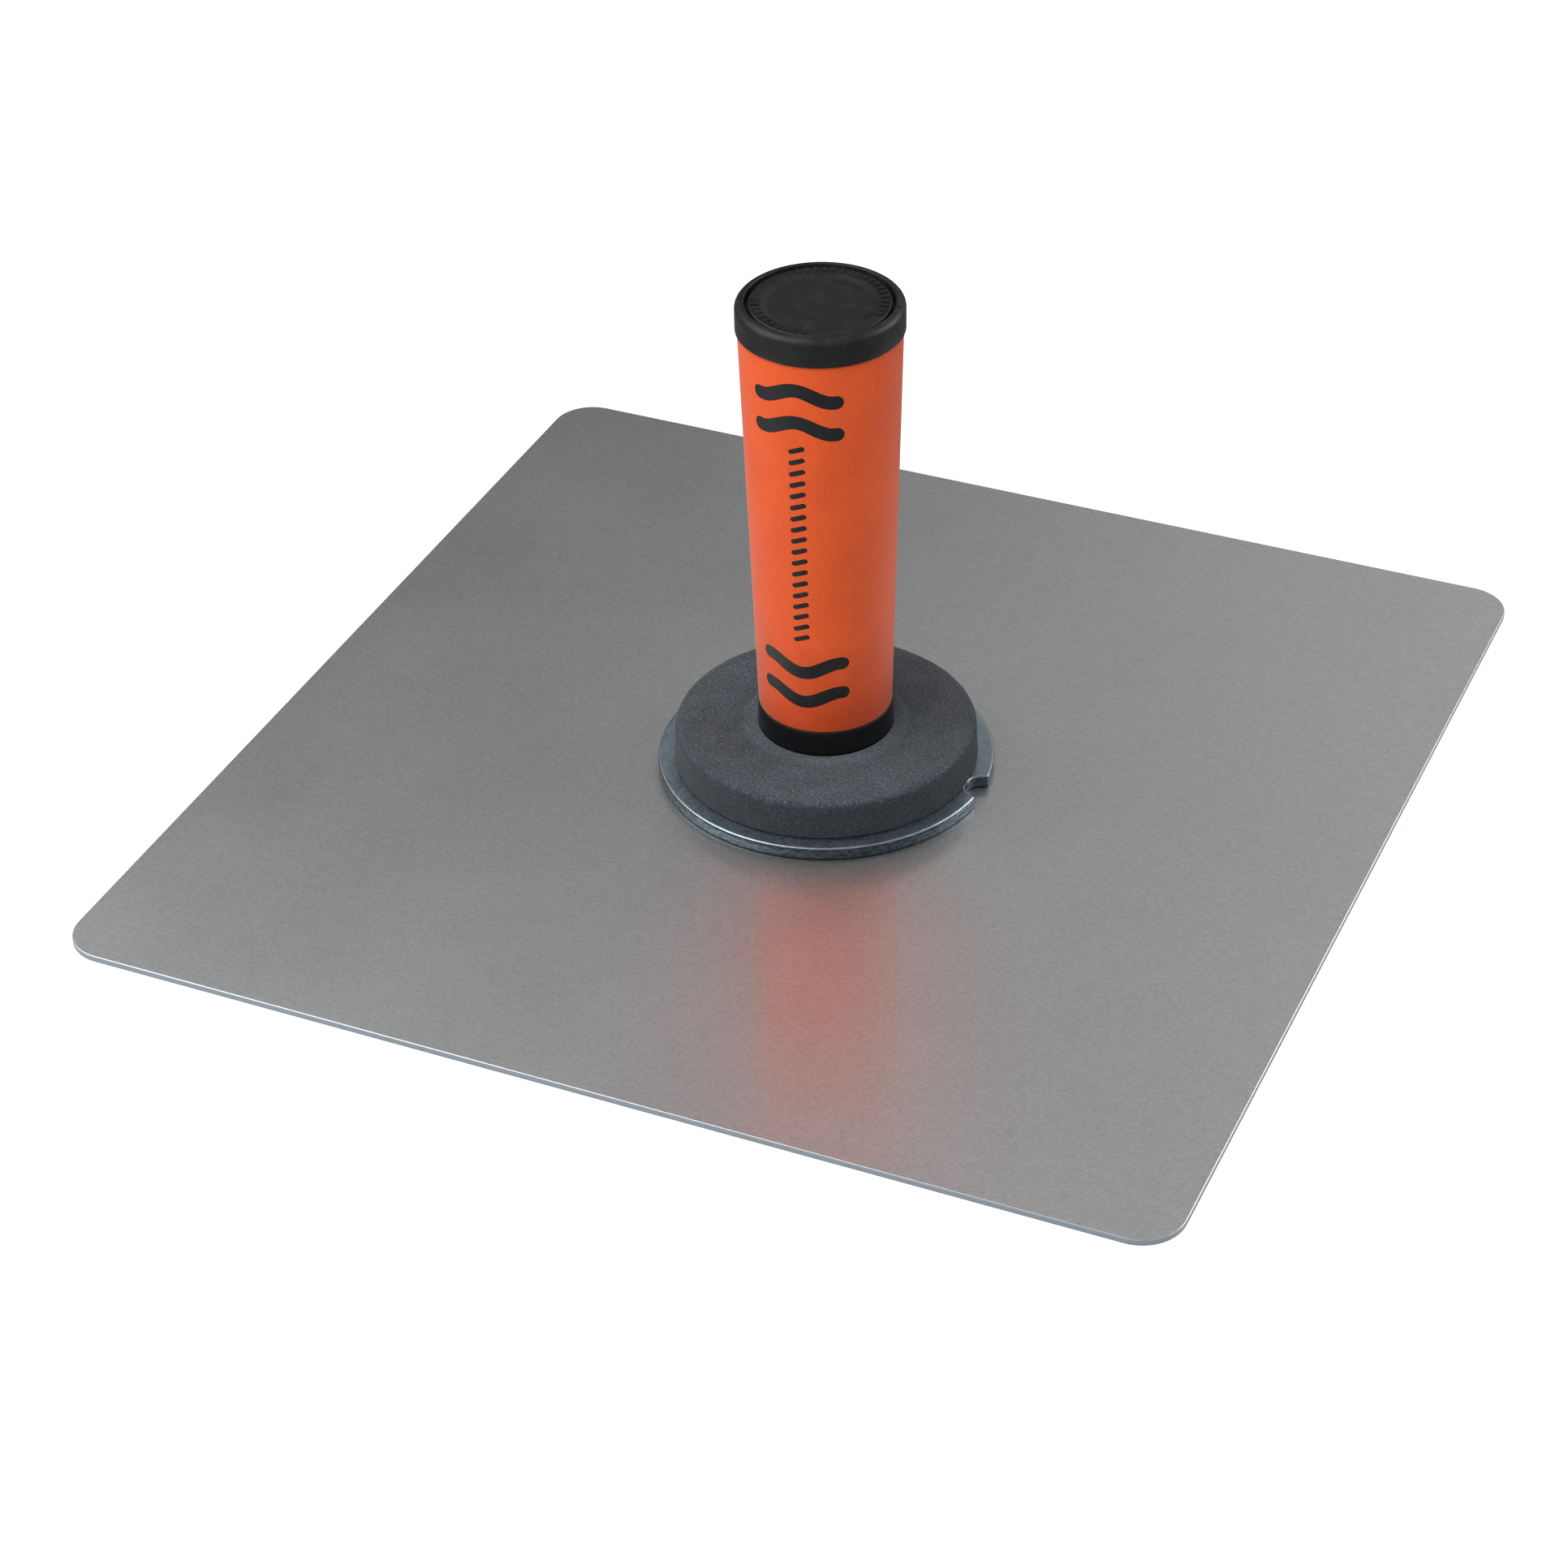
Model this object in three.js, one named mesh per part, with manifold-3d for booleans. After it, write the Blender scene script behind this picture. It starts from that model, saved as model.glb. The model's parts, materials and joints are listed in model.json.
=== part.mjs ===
// Mortar hawk: a square aluminium blade with a screw-on handle standing on its back.
// Millimetres, +Z up. The blade lies on its working face, and the origin is that face's centre.
import * as THREE from 'three';
import { mergeVertices } from 'three/addons/utils/BufferGeometryUtils.js';
import Module from 'manifold-3d';

// Blade and mounting disc
const BLADE_SIDE = 330.2;
const BLADE_THICKNESS = 2;
const BLADE_CORNER_RADIUS = 12.7;
const DISC_RADIUS = 50;
const DISC_THICKNESS = 4;
const NOTCH_RADIUS = 5.2;

// Rivets: countersunk and flush at both ends
const RIVET_COUNT = 4;
const RIVET_CIRCLE_RADIUS = 33;
const RIVET_SHANK_RADIUS = 2.4;
const RIVET_HEAD_RADIUS = 4;
const RIVET_HEAD_DEPTH = 1.2;

// Stud and insert: a 3/8 inch thread with 16 turns to the inch
const THREAD_RADIUS = 4.7625;
const THREAD_BORE_RADIUS = 4.95;
const THREAD_PITCH = 1.5875;
const THREAD_TURNS = 10.125;
const STUD_HEAD_RADIUS = 8;
const STUD_HEAD_DEPTH = 2.6;
const STUD_TIP_CHAMFER = 0.8;
const INSERT_RADIUS = 8;
const INSERT_LENGTH = 16;
const INSERT_LIP = 1;
const INSERT_GROOVE_DEPTH = 0.9;
const INSERT_GROOVE_HALF_HEIGHT = 1.2;
const SOCKET_CLEARANCE = 1.5;

// Foam pad round the foot of the handle
const PAD_RADIUS = 45;
const PAD_THICKNESS = 11.8;
const PAD_HOLE_RADIUS = 20.1;
const PAD_EDGE_RADIUS = 2.4;

// Handle, with heights counted from the top of the disc
const FOOT_RADIUS = 19.8;
const FOOT_HEIGHT = 12.2;
const COLLAR_RADIUS = 20.1;
const COLLAR_FLARE = 0.4;
const COLLAR_TOP = 19.7;
const SLEEVE_TOP = 142.6;
const SLEEVE_LOW_RADIUS = 19.65;
const SLEEVE_HIGH_RADIUS = 23.2;
const SLEEVE_THICKNESS = 2.4;
const RIM_RADIUS = 23.8;
const RIM_TOP = 151;
const RIM_ROUND_RADIUS = 2.2;
const PLUG_SEAT_RADIUS = 21.1;
const PLUG_SEAT_DEPTH = 3;
const HOLLOW_FLOOR = 26;
const HOLLOW_LOW_RADIUS = 13.6;
const HOLLOW_HIGH_RADIUS = 15.4;

// Plug that closes the hollow handle
const PLUG_RADIUS = 20.8;
const PLUG_BELOW_RIM = 0.4;
const PLUG_EDGE_CHAMFER = 0.5;
const PLUG_DISH_RADIUS = 15.3;
const PLUG_DISH_DEPTH = 0.7;
const PLUG_DISH_SLOPE = 1;
const PLUG_SPIGOT_RADIUS = 14.9;
const PLUG_SPIGOT_LENGTH = 9;
const PLUG_SPIGOT_WALL = 2.4;
const PLUG_SPIGOT_ROOT = 1;

// Wave marks: ribs of the core that fill windows in the sleeve, in an upper and a lower pair
const WAVE_ANGLE_DEG = -85;
const WAVES = [
  { middle: 132.9, crest: 1 },
  { middle: 122.7, crest: 1 },
  { middle: 42.2, crest: -1 },
  { middle: 32, crest: -1 },
];
const WAVE_HALF_LENGTH = 13.65;
const WAVE_HALF_THICKNESS = 2.1;
const WAVE_AMPLITUDE = 1.75;
const WAVE_HALF_PERIOD = 10.9;
const WAVE_STEPS = 14;
const WAVE_END_STEPS = 5;

// Gaps, facets, and how far a cutting tool runs past what it cuts
const FIT_GAP = 0.2;
const END_GAP = 0.1;
const WINDOW_GAP = 0.3;
const ROUND_FACETS = 48;
const SMALL_FACETS = 24;
const CORNER_STEPS = 8;
const EDGE_STEPS = 4;
const OVERRUN = 1;

// Heights worked out from the sizes above
const DISC_TOP = BLADE_THICKNESS + DISC_THICKNESS;
const PAD_TOP = DISC_TOP + PAD_THICKNESS;
const INSERT_BOTTOM = DISC_TOP + INSERT_LIP;
const INSERT_TOP = INSERT_BOTTOM + INSERT_LENGTH;
const STUD_TOP = INSERT_BOTTOM + THREAD_PITCH * THREAD_TURNS;
const COLLAR_TOP_Z = DISC_TOP + COLLAR_TOP;
const SLEEVE_TOP_Z = DISC_TOP + SLEEVE_TOP;
const RIM_TOP_Z = DISC_TOP + RIM_TOP;
const PLUG_SEAT_Z = RIM_TOP_Z - PLUG_SEAT_DEPTH;
const HOLLOW_FLOOR_Z = DISC_TOP + HOLLOW_FLOOR;

const wasm = await Module();
wasm.setup();

// Solid of revolution round Z. The profile's [radius, height] points run anticlockwise.
function revolve(profile, facets) {
  const points = profile.map(([radius, height]) => new THREE.Vector2(radius, height));
  return new THREE.LatheGeometry(points, facets).rotateX(Math.PI / 2);
}

// Ring of revolution: the profile is closed by its own first point.
function revolveRing(profile, facets) {
  return revolve([...profile, profile[0]], facets);
}

// Solid on the axis: its outline runs upwards, and flat ends close it.
function spindle(outline, facets) {
  return revolve([[0, outline[0][1]], ...outline, [0, outline.at(-1)[1]]], facets);
}

// The outline of a through hole, run past both of its ends.
function runThrough(outline) {
  const [lowRadius, low] = outline[0];
  const [highRadius, high] = outline.at(-1);
  return [[lowRadius, low - OVERRUN], ...outline, [highRadius, high + OVERRUN]];
}

// Points that round off an outer top corner of a profile.
function edgeRound(cornerRadius, cornerHeight, rounding) {
  const points = [];
  for (let i = 0; i <= EDGE_STEPS; i += 1) {
    const angle = (i * Math.PI) / 2 / EDGE_STEPS;
    const radius = cornerRadius - rounding + rounding * Math.cos(angle);
    points.push([radius, cornerHeight - rounding + rounding * Math.sin(angle)]);
  }
  return points;
}

function prism(shape, depth, curveSegments) {
  return new THREE.ExtrudeGeometry(shape, { depth, bevelEnabled: false, curveSegments });
}

function toSolid(geometry) {
  const bare = geometry.clone();
  bare.deleteAttribute('normal');
  bare.deleteAttribute('uv');
  const merged = mergeVertices(bare, 1e-4);
  const triangles = [];
  for (let i = 0; i < merged.index.count; i += 3) {
    const [a, b, c] = [0, 1, 2].map((corner) => merged.index.getX(i + corner));
    if (a !== b && b !== c && c !== a) {
      triangles.push(a, b, c);
    }
  }
  const vertProperties = new Float32Array(merged.attributes.position.array);
  const triVerts = new Uint32Array(triangles);
  return new wasm.Manifold(new wasm.Mesh({ numProp: 3, vertProperties, triVerts }));
}

function toGeometry(solid) {
  const mesh = solid.getMesh();
  const geometry = new THREE.BufferGeometry();
  geometry.setAttribute('position', new THREE.BufferAttribute(mesh.vertProperties, 3));
  geometry.setIndex(new THREE.BufferAttribute(mesh.triVerts, 1));
  geometry.computeVertexNormals();
  return geometry;
}

function cut(base, tools) {
  return tools.reduce((solid, tool) => solid.subtract(toSolid(tool)), toSolid(base));
}

// The same geometry at each place on the rivet circle, halfway between the blade's edges.
function atRivets(geometry) {
  const copies = [];
  for (let i = 0; i < RIVET_COUNT; i += 1) {
    const angle = ((i + 0.5) * 2 * Math.PI) / RIVET_COUNT;
    const x = RIVET_CIRCLE_RADIUS * Math.cos(angle);
    const y = RIVET_CIRCLE_RADIUS * Math.sin(angle);
    copies.push(geometry.clone().translate(x, y, 0));
  }
  return copies;
}

// Outline of a rivet, grown by the gap to make the hole that it sits in.
function rivetOutline(gap) {
  const shank = RIVET_SHANK_RADIUS + gap;
  const head = RIVET_HEAD_RADIUS + gap;
  return [
    [head, 0],
    [shank, RIVET_HEAD_DEPTH],
    [shank, DISC_TOP - RIVET_HEAD_DEPTH],
    [head, DISC_TOP],
  ];
}

function rivetHoles() {
  return atRivets(spindle(runThrough(rivetOutline(FIT_GAP)), SMALL_FACETS));
}

function bladeGeometry() {
  const half = BLADE_SIDE / 2;
  const inner = half - BLADE_CORNER_RADIUS;
  const outline = new THREE.Shape();
  outline.absarc(inner, inner, BLADE_CORNER_RADIUS, 0, Math.PI / 2);
  outline.absarc(-inner, inner, BLADE_CORNER_RADIUS, Math.PI / 2, Math.PI);
  outline.absarc(-inner, -inner, BLADE_CORNER_RADIUS, Math.PI, Math.PI * 1.5);
  outline.absarc(inner, -inner, BLADE_CORNER_RADIUS, Math.PI * 1.5, Math.PI * 2);
  const plate = prism(outline, BLADE_THICKNESS, CORNER_STEPS);
  return toGeometry(cut(plate, rivetHoles()));
}

// The disc has a half-round notch in its rim, towards +X, and a coned hole for the stud.
function discGeometry() {
  const lipAngle = 2 * Math.asin(NOTCH_RADIUS / 2 / DISC_RADIUS);
  const notchAngle = Math.PI / 2 + lipAngle / 2;
  const outline = new THREE.Shape();
  outline.absarc(0, 0, DISC_RADIUS, lipAngle, 2 * Math.PI - lipAngle);
  outline.absarc(DISC_RADIUS, 0, NOTCH_RADIUS, 2 * Math.PI - notchAngle, notchAngle, true);
  const plate = prism(outline, DISC_THICKNESS, ROUND_FACETS / 2).translate(0, 0, BLADE_THICKNESS);
  const studHole = spindle(
    runThrough([
      [STUD_HEAD_RADIUS + FIT_GAP, BLADE_THICKNESS],
      [THREAD_RADIUS + FIT_GAP, BLADE_THICKNESS + STUD_HEAD_DEPTH],
      [THREAD_RADIUS + FIT_GAP, DISC_TOP],
    ]),
    SMALL_FACETS,
  );
  return toGeometry(cut(plate, [studHole, ...rivetHoles()]));
}

// The stud's coned head lies between the disc and the blade.
function studGeometry() {
  return spindle(
    [
      [STUD_HEAD_RADIUS, BLADE_THICKNESS],
      [THREAD_RADIUS, BLADE_THICKNESS + STUD_HEAD_DEPTH],
      [THREAD_RADIUS, STUD_TOP - STUD_TIP_CHAMFER],
      [THREAD_RADIUS - STUD_TIP_CHAMFER, STUD_TOP],
    ],
    SMALL_FACETS,
  );
}

// The insert has a groove round its middle that locks it in the moulded core.
function insertGeometry() {
  const middle = (INSERT_BOTTOM + INSERT_TOP) / 2;
  return revolveRing(
    [
      [THREAD_BORE_RADIUS, INSERT_BOTTOM],
      [INSERT_RADIUS, INSERT_BOTTOM],
      [INSERT_RADIUS, middle - INSERT_GROOVE_HALF_HEIGHT],
      [INSERT_RADIUS - INSERT_GROOVE_DEPTH, middle - INSERT_GROOVE_HALF_HEIGHT],
      [INSERT_RADIUS - INSERT_GROOVE_DEPTH, middle + INSERT_GROOVE_HALF_HEIGHT],
      [INSERT_RADIUS, middle + INSERT_GROOVE_HALF_HEIGHT],
      [INSERT_RADIUS, INSERT_TOP],
      [THREAD_BORE_RADIUS, INSERT_TOP],
    ],
    SMALL_FACETS,
  );
}

function padGeometry() {
  return revolveRing(
    [
      [PAD_HOLE_RADIUS, DISC_TOP],
      [PAD_RADIUS, DISC_TOP],
      ...edgeRound(PAD_RADIUS, PAD_TOP, PAD_EDGE_RADIUS),
      [PAD_HOLE_RADIUS, PAD_TOP],
    ],
    ROUND_FACETS,
  );
}

// A solid body out to the sleeve's outer surface.
function gripBody() {
  return spindle(
    [
      [SLEEVE_LOW_RADIUS, COLLAR_TOP_Z],
      [SLEEVE_HIGH_RADIUS, SLEEVE_TOP_Z],
    ],
    ROUND_FACETS,
  );
}

// Outline of a wave mark on the unrolled surface, as [distance along it, height] points.
function waveOutline(crest, halfThickness) {
  const reach = WAVE_HALF_LENGTH - WAVE_HALF_THICKNESS;
  const wave = Math.PI / WAVE_HALF_PERIOD;
  const quarter = Math.PI / 2;
  const beside = (s, turn) => {
    const height = crest * WAVE_AMPLITUDE * Math.cos(wave * s);
    const slope = -crest * WAVE_AMPLITUDE * wave * Math.sin(wave * s);
    const angle = Math.atan(slope) + turn;
    return [s + halfThickness * Math.cos(angle), height + halfThickness * Math.sin(angle)];
  };
  const stretch = (steps, point) => Array.from({ length: steps }, (_, i) => point(i / steps));
  return [
    ...stretch(WAVE_STEPS, (t) => beside(reach * (2 * t - 1), -quarter)),
    ...stretch(WAVE_END_STEPS, (t) => beside(reach, quarter * (2 * t - 1))),
    ...stretch(WAVE_STEPS, (t) => beside(reach * (1 - 2 * t), quarter)),
    ...stretch(WAVE_END_STEPS, (t) => beside(-reach, quarter * (2 * t + 1))),
  ];
}

// One wave mark as a bar from the axis outwards, grown by the gap. Distances along the mark
// follow the round surface, so they are wrapped onto it before the bar is drawn.
function waveBar({ middle, crest }, gap) {
  const z = DISC_TOP + middle;
  const share = (z - COLLAR_TOP_Z) / (SLEEVE_TOP_Z - COLLAR_TOP_Z);
  const radius = SLEEVE_LOW_RADIUS + (SLEEVE_HIGH_RADIUS - SLEEVE_LOW_RADIUS) * share;
  const outline = waveOutline(crest, WAVE_HALF_THICKNESS + gap);
  const wrapped = outline.map(([s, h]) => new THREE.Vector2(radius * Math.sin(s / radius), h));
  return prism(new THREE.Shape(wrapped), RIM_RADIUS, 1)
    .rotateX(Math.PI / 2)
    .rotateZ(THREE.MathUtils.degToRad(WAVE_ANGLE_DEG + 90))
    .translate(0, 0, z);
}

// The core is the foot, the collar, the tube under the sleeve and the rim, in one moulding.
function coreBody() {
  const under = SLEEVE_THICKNESS + FIT_GAP;
  return spindle(
    [
      [FOOT_RADIUS, DISC_TOP],
      [FOOT_RADIUS, DISC_TOP + FOOT_HEIGHT],
      [COLLAR_RADIUS, DISC_TOP + FOOT_HEIGHT + COLLAR_FLARE],
      [COLLAR_RADIUS - COLLAR_FLARE, COLLAR_TOP_Z],
      [SLEEVE_LOW_RADIUS - under, COLLAR_TOP_Z],
      [SLEEVE_HIGH_RADIUS - under, SLEEVE_TOP_Z],
      [RIM_RADIUS, SLEEVE_TOP_Z],
      ...edgeRound(RIM_RADIUS, RIM_TOP_Z, RIM_ROUND_RADIUS),
      [PLUG_SEAT_RADIUS, RIM_TOP_Z],
      [PLUG_SEAT_RADIUS, PLUG_SEAT_Z],
    ],
    ROUND_FACETS,
  );
}

function coreHollow() {
  return spindle(
    [
      [HOLLOW_LOW_RADIUS, HOLLOW_FLOOR_Z],
      [HOLLOW_HIGH_RADIUS, PLUG_SEAT_Z + OVERRUN],
    ],
    ROUND_FACETS,
  );
}

// The socket for the stud, with the pocket that the insert is moulded into.
function coreSocket() {
  const bore = THREAD_BORE_RADIUS + FIT_GAP;
  const pocket = INSERT_RADIUS + FIT_GAP;
  return spindle(
    [
      [bore, DISC_TOP - OVERRUN],
      [bore, INSERT_BOTTOM - END_GAP],
      [pocket, INSERT_BOTTOM - END_GAP],
      [pocket, INSERT_TOP + END_GAP],
      [bore, INSERT_TOP + END_GAP],
      [bore, STUD_TOP + SOCKET_CLEARANCE],
    ],
    SMALL_FACETS,
  );
}

function coreGeometry() {
  const grip = toSolid(gripBody());
  const ribs = WAVES.map((wave) => toSolid(waveBar(wave, 0)).intersect(grip));
  const ribbed = ribs.reduce((solid, rib) => solid.add(rib), toSolid(coreBody()));
  return toGeometry(ribbed.subtract(toSolid(coreHollow())).subtract(toSolid(coreSocket())));
}

function sleeveGeometry() {
  const tube = revolveRing(
    [
      [SLEEVE_LOW_RADIUS - SLEEVE_THICKNESS, COLLAR_TOP_Z + END_GAP],
      [SLEEVE_LOW_RADIUS, COLLAR_TOP_Z + END_GAP],
      [SLEEVE_HIGH_RADIUS, SLEEVE_TOP_Z - END_GAP],
      [SLEEVE_HIGH_RADIUS - SLEEVE_THICKNESS, SLEEVE_TOP_Z - END_GAP],
    ],
    ROUND_FACETS,
  );
  return toGeometry(cut(tube, WAVES.map((wave) => waveBar(wave, WINDOW_GAP))));
}

// The plug's face is dished, and its hollow spigot presses into the tube of the core.
function plugGeometry() {
  const top = RIM_TOP_Z - PLUG_BELOW_RIM;
  const seat = PLUG_SEAT_Z + END_GAP;
  const ceiling = seat - PLUG_SPIGOT_ROOT;
  const end = seat - PLUG_SPIGOT_LENGTH;
  return spindle(
    [
      [PLUG_SPIGOT_RADIUS - PLUG_SPIGOT_WALL, ceiling],
      [PLUG_SPIGOT_RADIUS - PLUG_SPIGOT_WALL, end],
      [PLUG_SPIGOT_RADIUS, end],
      [PLUG_SPIGOT_RADIUS, seat],
      [PLUG_RADIUS, seat],
      [PLUG_RADIUS, top - PLUG_EDGE_CHAMFER],
      [PLUG_RADIUS - PLUG_EDGE_CHAMFER, top],
      [PLUG_DISH_RADIUS, top],
      [PLUG_DISH_RADIUS - PLUG_DISH_SLOPE, top - PLUG_DISH_DEPTH],
    ],
    ROUND_FACETS,
  );
}

const materials = {
  aluminium: new THREE.MeshStandardMaterial({ color: 0xa2a29f, roughness: 0.35, metalness: 1 }),
  zincSteel: new THREE.MeshStandardMaterial({ color: 0x8f999c, roughness: 0.4, metalness: 1 }),
  brass: new THREE.MeshStandardMaterial({ color: 0xb08d4a, roughness: 0.35, metalness: 1 }),
  foam: new THREE.MeshStandardMaterial({ color: 0x4b4e54, roughness: 0.95, metalness: 0 }),
  blackPlastic: new THREE.MeshStandardMaterial({ color: 0x222123, roughness: 0.55, metalness: 0 }),
  orangeRubber: new THREE.MeshStandardMaterial({ color: 0xe35f33, roughness: 0.7, metalness: 0 }),
};

function piece(name, geometry, material) {
  const mesh = new THREE.Mesh(geometry, material);
  mesh.name = name;
  return mesh;
}

const base = new THREE.Group();
base.add(piece('blade', bladeGeometry(), materials.aluminium));
base.add(piece('mount_disc', discGeometry(), materials.zincSteel));
base.add(piece('threaded_stud', studGeometry(), materials.zincSteel));
atRivets(spindle(rivetOutline(0), SMALL_FACETS)).forEach((geometry, i) => {
  base.add(piece(`rivet_${i + 1}`, geometry, materials.aluminium));
});

const handle = new THREE.Group();
handle.add(piece('handle_core', coreGeometry(), materials.blackPlastic));
handle.add(piece('thread_insert', insertGeometry(), materials.brass));
handle.add(piece('grip_sleeve', sleeveGeometry(), materials.orangeRubber));
handle.add(piece('end_plug', plugGeometry(), materials.blackPlastic));

const hawk = new THREE.Group();
hawk.add(base);
hawk.add(piece('foam_pad', padGeometry(), materials.foam));
hawk.add(handle);

export default hawk;
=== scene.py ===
"""Looks of the mortar hawk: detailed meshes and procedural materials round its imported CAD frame.

Lengths are in metres, and MM turns a size in millimetres into them. Angles are in radians,
unless a name says degrees. The blade lies flat, and the handle stands on the Z axis.
"""

import json
import math

import bmesh
import bpy
import numpy as np
from mathutils import Matrix, Vector, noise

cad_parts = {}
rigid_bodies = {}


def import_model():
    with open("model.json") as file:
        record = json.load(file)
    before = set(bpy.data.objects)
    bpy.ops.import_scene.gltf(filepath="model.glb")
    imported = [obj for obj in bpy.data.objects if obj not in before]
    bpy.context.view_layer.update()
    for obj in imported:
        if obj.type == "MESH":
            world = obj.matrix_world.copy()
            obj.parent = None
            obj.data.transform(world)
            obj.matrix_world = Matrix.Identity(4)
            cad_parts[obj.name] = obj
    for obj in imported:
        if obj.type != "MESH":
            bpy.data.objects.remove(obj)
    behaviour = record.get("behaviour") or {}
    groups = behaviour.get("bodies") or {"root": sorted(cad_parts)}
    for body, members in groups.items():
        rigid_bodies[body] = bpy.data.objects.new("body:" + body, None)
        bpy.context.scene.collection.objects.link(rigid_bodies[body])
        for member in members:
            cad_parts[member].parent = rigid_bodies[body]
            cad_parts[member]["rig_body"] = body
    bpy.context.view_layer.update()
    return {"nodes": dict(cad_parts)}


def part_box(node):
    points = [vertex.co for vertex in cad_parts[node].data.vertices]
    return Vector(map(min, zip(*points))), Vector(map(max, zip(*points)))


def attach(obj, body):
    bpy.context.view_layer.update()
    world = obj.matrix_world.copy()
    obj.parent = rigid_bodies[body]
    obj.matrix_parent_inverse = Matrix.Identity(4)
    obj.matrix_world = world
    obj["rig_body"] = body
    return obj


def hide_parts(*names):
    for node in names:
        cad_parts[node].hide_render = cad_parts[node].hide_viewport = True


MM = 0.001

# Camera: degrees round the blade, and lengths in blade sides from the centre of its upper face
CAMERA_AZIMUTH = 24.369
CAMERA_ELEVATION = 35.383
CAMERA_ROLL = -1.243
CAMERA_BACK = 3.5197
CAMERA_RIGHT = -0.0383
CAMERA_UP = -0.0209
CAMERA_LENS = 89.54
SENSOR_WIDTH = 36.0

# Blade, and the disc with its punched edge and its notch
BLADE_CORNER_RADIUS = 12.7 * MM
BLADE_UPPER_ROUND = 0.3 * MM
BLADE_LOWER_ROUND = 0.38 * MM
DISC_LOWER_BEVEL = 0.45 * MM
DISC_BREAK_INSET = 0.15 * MM
DISC_BREAK_HEIGHT = 2.1 * MM
DISC_BREAK_SLOPE = 0.25 * MM
DISC_UPPER_ROUND = 0.75 * MM
# Painted shadow line at the foot of the disc: near-black up to the first height, fading out by the second
JOINT_SHADE_SOLID = 0.3 * MM
JOINT_SHADE_END = 0.6 * MM
NOTCH_RADIUS = 5.2 * MM
NOTCH_LIP_RADIUS = 0.95 * MM

# Rivets, flush at both ends, and the seam round each
RIVET_COUNT = 4
RIVET_CIRCLE_RADIUS = 33 * MM
RIVET_HEAD_RADIUS = 4 * MM
RIVET_SHANK_RADIUS = 2.4 * MM
RIVET_HEAD_DEPTH = 1.2 * MM
RIVET_EDGE_ROUND = 0.15 * MM
SEAM = 0.05 * MM

# Thread of the stud and the insert: (share of the pitch, share of the depth) at each break
THREAD_PITCH = 1.5875 * MM
THREAD_RADIUS = 4.7625 * MM
THREAD_DEPTH = 0.86 * MM
THREAD_CLEARANCE = 0.09 * MM
THREAD_FORM = ((0, 1), (0.125, 1), (0.4375, 0), (0.6875, 0))
STUD_HEAD_RADIUS = 8 * MM
STUD_HEAD_DEPTH = 2.6 * MM
STUD_TIP_CHAMFER = 1.1 * MM
STUD_SHANK_RADIUS = 4.8 * MM
INSERT_GROOVE_DEPTH = 0.9 * MM
INSERT_GROOVE_HALF_HEIGHT = 1.2 * MM

# Foam pad
PAD_HOLE_RADIUS = 19.95 * MM
PAD_LEAN = 0.5 * MM
PAD_EDGE_ROUND = 2.3 * MM
PAD_FOOT_ROUND = 0.6 * MM
PAD_RING_RADIUS = 24.5 * MM
PAD_RING_RISE = 0.2 * MM
PAD_RING_SLOPE = 1.2 * MM
PAD_RING_ROUND = 1.5 * MM
# Blur of the painted highlight ring round the handle
PAD_RING_BLUR = 1 * MM
PAD_HOLE_ROUND = 0.3 * MM
PAD_ROW = 1.1 * MM
PAD_SWELL = 0.12 * MM
PAD_SWELL_SIZE = 7 * MM
PAD_GRAIN = 0.05 * MM
PAD_GRAIN_SIZE = 1.8 * MM

# Handle core, from the foot to the rim
FOOT_RADIUS = 19.8 * MM
FOOT_ROUND = 0.5 * MM
COLLAR_RADIUS = 20.1 * MM
COLLAR_HEIGHT = 12.4 * MM
COLLAR_ROUND = 0.3 * MM
COLLAR_TOP_RADIUS = 19.75 * MM
COLLAR_TOP_ROUND = 0.2 * MM
# Fade, below the sleeve, of the collar's smoother finish and its painted shade
COLLAR_SHADE_FADE = 1 * MM
SLEEVE_LOW_RADIUS = 19.65 * MM
SLEEVE_THICKNESS = 2.4 * MM
SLEEVE_END_ROUND = 0.3 * MM
# Height and unevenness of the painted shade that darkens the grip towards the pad
PAD_SHADE_HEIGHT = 34 * MM
PAD_SHADE_UNEVEN = 6 * MM
RIM_ROUND = 2.3 * MM
RIM_UNDER_ROUND = 0.3 * MM
RIM_LIP_ROUND = 0.35 * MM
PLUG_SEAT_RADIUS = 21.1 * MM
PLUG_SEAT_DEPTH = 3 * MM
HOLLOW_FLOOR = 26 * MM
HOLLOW_LOW_RADIUS = 13.6 * MM
HOLLOW_HIGH_RADIUS = 15.4 * MM
SOCKET_RADIUS = 5.15 * MM
SOCKET_CLEARANCE = 1.5 * MM
RIM_SLOT_ANGLE = math.radians(11)
RIM_SLOT_WIDTH = 0.9 * MM
RIM_SLOT_DEPTH = 0.6 * MM

# End plug: its dish, and the raised ticks round it
PLUG_FACE_DROP = 0.1 * MM
PLUG_DISH_RADIUS = 16.6 * MM
PLUG_DISH_DEPTH = 0.7 * MM
PLUG_DISH_SLOPE = 1.8 * MM
PLUG_DISH_ROUND = 1.6 * MM
PLUG_EDGE_ROUND = 0.5 * MM
PLUG_GROOVE = 0.75 * MM
PLUG_SPIGOT_RADIUS = 14.9 * MM
PLUG_SPIGOT_WALL = 2.4 * MM
PLUG_SPIGOT_ROUND = 0.4 * MM
PLUG_SEAT_WALL = 1 * MM
TICK_ARCS_DEGREES = ((-3, 133), (-160, -80))
TICK_STEP_DEGREES = 8
TICK_MIDDLE_RADIUS = 18.15 * MM
TICK_LENGTH = 2.5 * MM
TICK_WIDTH = 1.3 * MM
TICK_RISE = 0.5 * MM
TICK_DRAFT = 0.12 * MM

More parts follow.
